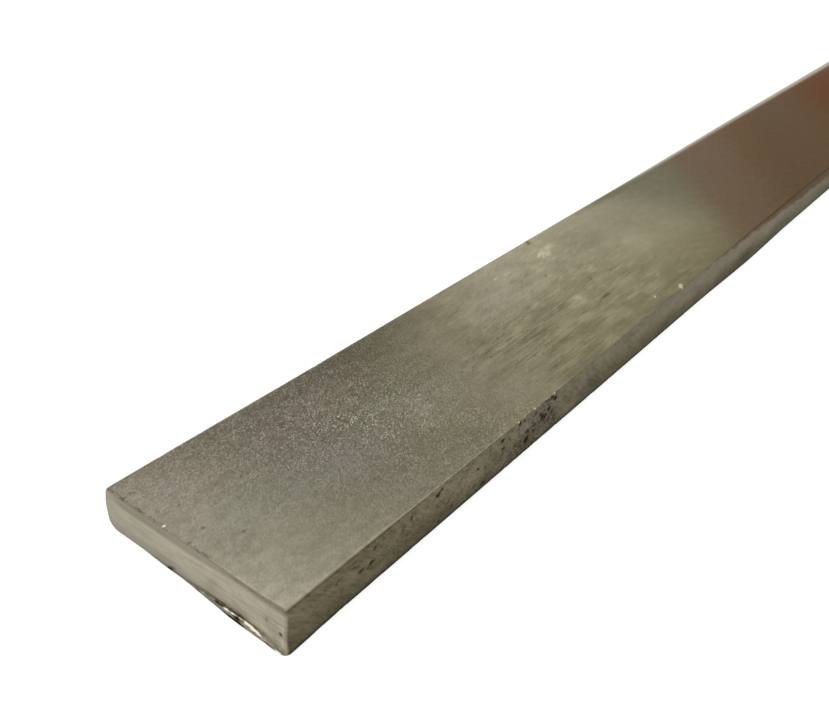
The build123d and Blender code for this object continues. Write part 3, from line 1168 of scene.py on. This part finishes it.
def spotted_scale(n):
    """Small spots of scale on the narrow faces.

    They grow stronger in three steps along the bar, and fade beyond the densest pits.
    """
    spotty = n.noise(n.place, (0.50, 0.50, 0.26), detail=3, roughness=0.6, shift=8, tilt=40)
    first_step, second_step, third_step = (
        n.eased(n.from_end, start * MM, full * MM, 0, gain)
        for start, full, gain in ((8, 14, 0.4), (22, 30, 0.25), (39, 42, 0.70))
    )
    spotted = n.sum(first_step, second_step, third_step)
    spotted = n.product(spotted, n.eased(n.from_end, 53 * MM, 49 * MM, 0.12, 1))
    return n.math("MINIMUM", n.product(n.eased(spotty, 0.51, 0.63), spotted, 0.80), 0.92)


def sawn_colour(n):
    """The sawn ends: bright lines across the bar under a duller strip, with smudges and dark spots, and
    painted shade low down and towards the +Y side.
    """
    soft = n.noise(n.place, (5, 1.6, 0.9), detail=3, roughness=0.6, shift=2)
    cut = n.mixed(n.eased(n.saw_lines, 0.34, 0.66), written(145, 138, 119), written(167, 160, 140))
    cut = n.mixed(n.eased(soft, 0.34, 0.66, 0.25, 0), cut, written(128, 122, 108))
    smudges = n.noise(n.place, (3, 1.1, 1.1), detail=4, roughness=0.6, shift=11)
    smudged = n.product(n.eased(smudges, 0.50, 0.34), n.eased(n.across, 0, -8 * MM), 0.2)
    cut = n.mixed(smudged, cut, STREAK_DARK)
    low_right = n.product(n.eased(n.height, 2.8 * MM, 1.2 * MM, 0, 0.5), n.eased(n.across, -6 * MM, -10 * MM))
    cut = n.mixed(low_right, cut, written(190, 184, 162))
    # Painted shade, darker towards the +Y side.
    cut = n.mixed(n.eased(n.across, 3 * MM, 10 * MM, 0, 0.35), cut, written(126, 120, 98))

    strip = n.mixed(n.eased(n.across, -4 * MM, 9 * MM), written(123, 116, 97), written(110, 103, 84))
    strip_edge = n.sum(n.height, n.product(n.math("SUBTRACT", soft, 0.5), 0.5 * MM))
    into_strip = n.math("SUBTRACT", strip_edge, n.eased(n.across, -8 * MM, 2 * MM, 5.02 * MM, 4.58 * MM))
    into_strip = n.eased(into_strip, -0.35 * MM, 0.40 * MM, 0, 0.92)
    cut = n.mixed(n.product(into_strip, n.eased(n.across, 14.4 * MM, 12 * MM, 0.3, 1)), cut, strip)

    # Painted shade, darker low down and towards the +Y side.
    low_left = n.product(n.eased(n.height, 2.2 * MM, 1.0 * MM, 0, 0.75), n.eased(n.across, -5 * MM, 4 * MM))
    cut = n.mixed(low_left, cut, written(130, 123, 108))
    # Painted shade at the very bottom and along the +Y edge.
    cut = n.mixed(n.eased(n.height, 0.7 * MM, 0.2 * MM, 0, 0.3), cut, END_SHADE)
    cut = n.mixed(n.eased(n.across, 11 * MM, 15 * MM, 0, 0.3), cut, END_SHADE)
    return n.mixed(n.math("MINIMUM", n.stained, 0.95), cut, written(44, 38, 26))


def torn_edge(n):
    """The dark strip along the top edge of a sawn end: torn over the edge, and below it on the -Y side
    painted shade where the edge rounds over.
    """
    tear = n.noise(n.place, (1.0, 1.0, 1.0), detail=4, roughness=0.6, shift=3)
    faint = n.noise(n.place, (2.2, 2.2, 2.2), detail=3, shift=5)
    torn_place = n.sum(n.from_end, n.product(n.math("SUBTRACT", tear, 0.5), 0.5 * MM))
    torn = n.product(n.eased(torn_place, 0.42 * MM, 0.20 * MM), n.eased(torn_place, 0.02 * MM, 0.16 * MM))
    torn = n.product(torn, n.eased(n.height, 5.5 * MM, 5.75 * MM), n.eased(n.across, -7 * MM, -1 * MM))
    # Painted shade below the edge on the -Y side.
    below = n.product(n.eased(n.height, 5.30 * MM, 5.60 * MM), n.eased(n.height, 5.95 * MM, 5.72 * MM))
    below = n.product(below, n.sawn, n.eased(n.across, -2 * MM, -7 * MM))
    torn = n.math("MAXIMUM", torn, below)
    return n.product(torn, n.eased(faint, 0.36, 0.62, 0.22, 0.85))


def bar_colour(n):
    """The colour all over: wide faces, narrow faces and sawn ends, with painted shade along the -Y crease,
    scrapes and painted glints on the top, and the ends' torn top edge with painted shade below it.
    """
    wide = with_grain(n, with_dents(n, with_streaks(n, wide_tones(n))))
    # Painted shade along the -Y top crease: strong and brown further on, where it darkens the edge's
    # reflection, and faint near the near end, where it softens the crease.
    far_oxide = n.eased(n.from_end, 98 * MM, 130 * MM, 0, 0.9)
    oxide = n.sum(far_oxide, n.eased(n.from_end, 28 * MM, 14 * MM, 0, 0.30))
    along_crease = n.product(n.eased(n.across, -14.60 * MM, -14.80 * MM), oxide)
    wide = n.mixed(along_crease, wide, written(94, 78, 58))
    colour = n.mixed(n.eased(n.narrow, 0, 0.6), wide, narrow_colour(n))
    scraped = n.product(n.spots(n.pulled_about, SCRAPES), n.sum(0.45, n.product(n.broken, 1.1)), n.above)
    colour = n.mixed(n.product(n.eased(scraped, 0.0, 1.5), 0.46), colour, written(230, 225, 203))
    # Painted highlights at the glints.
    glinting = n.product(n.eased(n.spots(n.place, GLINTS), 0.1, 0.8), n.above)
    colour = n.mixed(glinting, colour, written(240, 236, 222))
    colour = n.mixed(n.sawn, colour, sawn_colour(n))
    return n.mixed(torn_edge(n), colour, written(84, 76, 60))


def bar_roughness(n):
    """The roughness: smoother further on, and rougher where it is etched, narrow, pitted, painted with shade
    at the foot, wrapped in brown, dented or sawn.
    """
    near_part = n.eased(n.from_end, 56 * MM, 106 * MM, 0.25, 0.15)
    smooth = n.sum(near_part, n.eased(n.from_end, 98 * MM, 124 * MM, 0, -0.065))
    roughness = n.math("MAXIMUM", smooth, n.product(n.etched, 0.28))
    roughness = n.sum(roughness, n.product(n.streaky, n.eased(n.lines, 0.3, 0.7, -0.03, 0.04)))
    by_height = n.eased(n.height, 5.0 * MM, 1.0 * MM, 0.50, 0.76)
    roughness = n.math("MAXIMUM", roughness, n.product(n.narrow, by_height))
    rusty = n.math("MAXIMUM", n.math("MAXIMUM", n.in_pit, n.dirt), n.product(n.wrapped, 0.94))
    roughness = n.math("MAXIMUM", roughness, n.product(rusty, n.narrow, 0.95))
    roughness = n.math("MAXIMUM", roughness, n.product(n.dented, 0.5))
    return n.math("MAXIMUM", roughness, n.product(n.sawn, n.sum(0.36, n.product(n.stained, 0.4))))


def bar_relief(n):
    """The fine relief in metres: grain, streaks, saw lines, and the narrow faces' pits and mottle."""
    grain_height = n.sum(n.product(n.etched, 0.008 * MM), 0.0006 * MM)
    relief = n.product(n.sum(n.peel, n.sparkle), grain_height)
    relief = n.sum(relief, n.product(n.lines, n.streaky, 0.006 * MM))
    relief = n.sum(relief, n.product(n.saw_lines, n.sawn, 0.03 * MM))
    relief = n.sum(relief, n.product(n.in_pit, n.narrow, -0.04 * MM))
    return n.sum(relief, n.product(n.mottle, n.narrow, 0.03 * MM))


def bar_steel():
    """Rolled and pickled steel, with its colour, roughness and fine relief."""
    steel = bpy.data.materials.new("rolled_pickled_steel")
    steel.use_nodes = True
    n = BarNodes(steel.node_tree)
    surface = steel.node_tree.nodes["Principled BSDF"]
    surface.inputs["Metallic"].default_value = 1.0
    bump = n.add("ShaderNodeBump", {"Height": bar_relief(n), "Distance": 1.0, "Strength": 1.0})
    steel.node_tree.links.new(bar_colour(n), surface.inputs["Base Color"])
    steel.node_tree.links.new(bar_roughness(n), surface.inputs["Roughness"])
    steel.node_tree.links.new(bump.outputs[0], surface.inputs["Normal"])
    return steel


def burr_steel():
    """Torn steel: the end's own colour, with painted highlights on its foil facets and painted shade in its
    folds and along its root.
    """
    steel = bpy.data.materials.new("torn_steel")
    steel.use_nodes = True
    n = Nodes(steel.node_tree)
    surface = steel.node_tree.nodes["Principled BSDF"]
    place = n.add("ShaderNodeTexCoord", {}).outputs["Object"]
    across = n.add("ShaderNodeSeparateXYZ", {"Vector": place}).outputs["Y"]
    layers = n.noise(place, (0.10, 1.3, 0.3), detail=3, roughness=0.6)
    crumpled = n.noise(place, (0.35, 0.6, 0.5), detail=3, roughness=0.6, shift=1)
    colour = n.mixed(n.eased(layers, 0.35, 0.65), written(112, 106, 92), written(156, 149, 132))
    ragged = n.math("SUBTRACT", n.sum(layers, crumpled), 1.0)
    ragged = n.product(ragged, n.eased(across, -14 * MM, -12.4 * MM, 0.3, 1.3))
    bright = n.eased(n.sum(n.read("facet"), ragged), 0.30, 0.75)
    dark = n.eased(n.sum(n.read("fold"), n.product(ragged, -1)), 0.25, 0.80)
    # Painted shade in the folds and along the root, then painted highlights on the facets.
    colour = n.mixed(dark, colour, written(52, 43, 30))
    colour = n.mixed(bright, colour, written(248, 242, 222))
    steel.node_tree.links.new(colour, surface.inputs["Base Color"])
    surface.inputs["Metallic"].default_value = 1.0
    surface.inputs["Roughness"].default_value = 0.3
    return steel


# ---------------------------------------------------------------- the object

skin = dress_bar()
skin.data.materials.append(bar_steel())
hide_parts("flat_bar")
burr = dress_burr()
burr.data.materials.append(burr_steel())
for piece in (skin, burr):
    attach(piece, "root")


# ---------------------------------------------------------------- the studio

FLOOR_HALF = 4.0  # half the side of the floor, in metres
FLOOR_DROP = 0.02 * MM  # how far the floor lies below the bar
FLOOR_TONE = 0.8
FLOOR_LIFT = 0.56  # how much light the floor adds for the camera and for the steel that mirrors it


def studio_floor():
    """A white floor that keeps the bar's soft shadow."""
    corners = np.array([(-1, -1, 0), (1, -1, 0), (1, 1, 0), (-1, 1, 0)])
    points = corners * FLOOR_HALF - (0, 0, FLOOR_DROP)
    floor = add_mesh("studio_floor", points, np.array([[0, 1, 2, 3]]), smooth=False)
    paper = bpy.data.materials.new("white_paper")
    paper.use_nodes = True
    tree = paper.node_tree
    n = Nodes(tree)
    tree.nodes.remove(tree.nodes["Principled BSDF"])
    matt = n.add("ShaderNodeBsdfDiffuse", {"Color": (FLOOR_TONE, FLOOR_TONE, FLOOR_TONE, 1)})
    seen = n.add("ShaderNodeLightPath", {})
    shown = n.math("MAXIMUM", seen.outputs["Is Camera Ray"], seen.outputs["Is Glossy Ray"])
    shown = n.math("MAXIMUM", shown, seen.outputs["Is Transmission Ray"])
    lift = n.add("ShaderNodeEmission", {"Color": (1, 1, 1, 1), "Strength": n.product(shown, FLOOR_LIFT)})
    both = n.add("ShaderNodeAddShader", {0: matt.outputs[0], 1: lift.outputs[0]})
    tree.links.new(both.outputs[0], tree.nodes["Material Output"].inputs["Surface"])
    floor.data.materials.append(paper)


# The light round the bar, as soft-edged boxes in degrees: headings from +X towards +Y,
# heights from the horizon up, the softness of the sides, of the top and bottom, how far
# the sides lean for each degree of height above 20, how far the top and bottom rise for
# each degree of heading above 20, and the tone. A fitting script made the rows that begin
# (8, 85), (33, 80), (22, 41.5) and (32.5, 52), and the edges of the row (8, 31). The rows
# (-10, 22.1), (-10, 17.0), (-10, 5.2) and (0, 32) began as fitted ones and were changed.
# The rest was set one by one.
SKY_BOXES = (
    ((8, 85), (-20, 39), 5, 5, 0, 0, (0.21, 0.18, 0.10)),
    ((50, 110), (-20, 22), 4, 4, 0, 0, (0.85, 0.83, 0.78)),
    ((33, 80), (39, 70), 12, 5, 0, 0, (1.50, 1.49, 1.54)),
    ((22, 41.5), (-20, 31), 12, 8, 0, 0, (1.28, 1.25, 1.08)),
    ((32.5, 52), (33, 43), 8, 4, 0, 0, (0.02, 0.02, 0.02)),
    ((8, 31), (5, 22), 2, 1, 0, 0, (0.395, 0.40, 0.315)),
    ((-10, 22.1), (2, 30), 0.6, 2, 1.2, 0, (0.375, 0.272, 0.218)),
    ((-10, 17.0), (2, 30), 2, 2, 1, 0, (0.284, 0.196, 0.137)),
    ((15.8, 17.2), (2, 18.6), 0.6, 0.7, 1, 0, (0.32, 0.205, 0.110)),
    ((-10, 5.2), (2, 30), 1.8, 2, 2.2, 0, (0.268, 0.112, 0.060)),
    ((0, 32), (-20, 13.6), 4, 1.2, 0, 0.38, (0.90, 0.87, 0.79)),
)
SKY_TONE = (0.95, 0.95, 0.95)


def studio_sky():
    """Soft light from all round, with broad brighter and darker boxes laid over an even tone."""
    world = bpy.data.worlds.new("soft_studio")
    bpy.context.scene.world = world
    world.use_nodes = True
    n = Nodes(world.node_tree)
    way = n.add("ShaderNodeTexCoord", {}).outputs["Generated"]
    parts = n.add("ShaderNodeSeparateXYZ", {"Vector": way})
    heading = n.product(n.math("ARCTAN2", parts.outputs["Y"], parts.outputs["X"]), math.degrees(1))
    rise = n.product(n.math("ARCSINE", parts.outputs["Z"]), math.degrees(1))
    tone = (*SKY_TONE, 1)
    for (left, right), (low, high), side_edge, top_edge, lean, climb, colour in SKY_BOXES:
        leaning = n.sum(heading, n.product(n.math("SUBTRACT", rise, 20), lean))
        climbing = n.math("SUBTRACT", rise, n.product(n.math("SUBTRACT", heading, 20), climb))
        inside = n.product(
            n.eased(leaning, left - side_edge, left + side_edge),
            n.eased(leaning, right + side_edge, right - side_edge),
            n.eased(climbing, low - top_edge, low + top_edge),
            n.eased(climbing, high + top_edge, high - top_edge),
        )
        tone = n.mixed(inside, tone, (*colour, 1))
    world.node_tree.links.new(tone, world.node_tree.nodes["Background"].inputs["Color"])


# The camera: its place from the near end's middle, its turn in degrees, and its lens in mm.
# A fitting script found all of these but the sensor and the nearest distance.
CAMERA_BEFORE = 43.03 * MM
CAMERA_ASIDE = -65.09 * MM
CAMERA_HEIGHT = 75.91 * MM
CAMERA_TURN = (58.5211, -0.4181, -51.1186)
CAMERA_LENS = 40.729
CAMERA_SENSOR = 36
CAMERA_NEAREST = 5 * MM


def studio_camera():
    """The camera, close above the bar's near end and looking along it."""
    data = bpy.data.cameras.new("camera")
    data.sensor_width = CAMERA_SENSOR
    data.lens = CAMERA_LENS
    data.clip_start = CAMERA_NEAREST
    camera = bpy.data.objects.new("camera", data)
    camera.location = (NEAR_END - CAMERA_BEFORE, CAMERA_ASIDE, CAMERA_HEIGHT)
    camera.rotation_euler = [math.radians(angle) for angle in CAMERA_TURN]
    bpy.context.scene.collection.objects.link(camera)
    bpy.context.scene.camera = camera


studio_floor()
studio_sky()
studio_camera()
bpy.context.scene.view_settings.view_transform = "Standard"
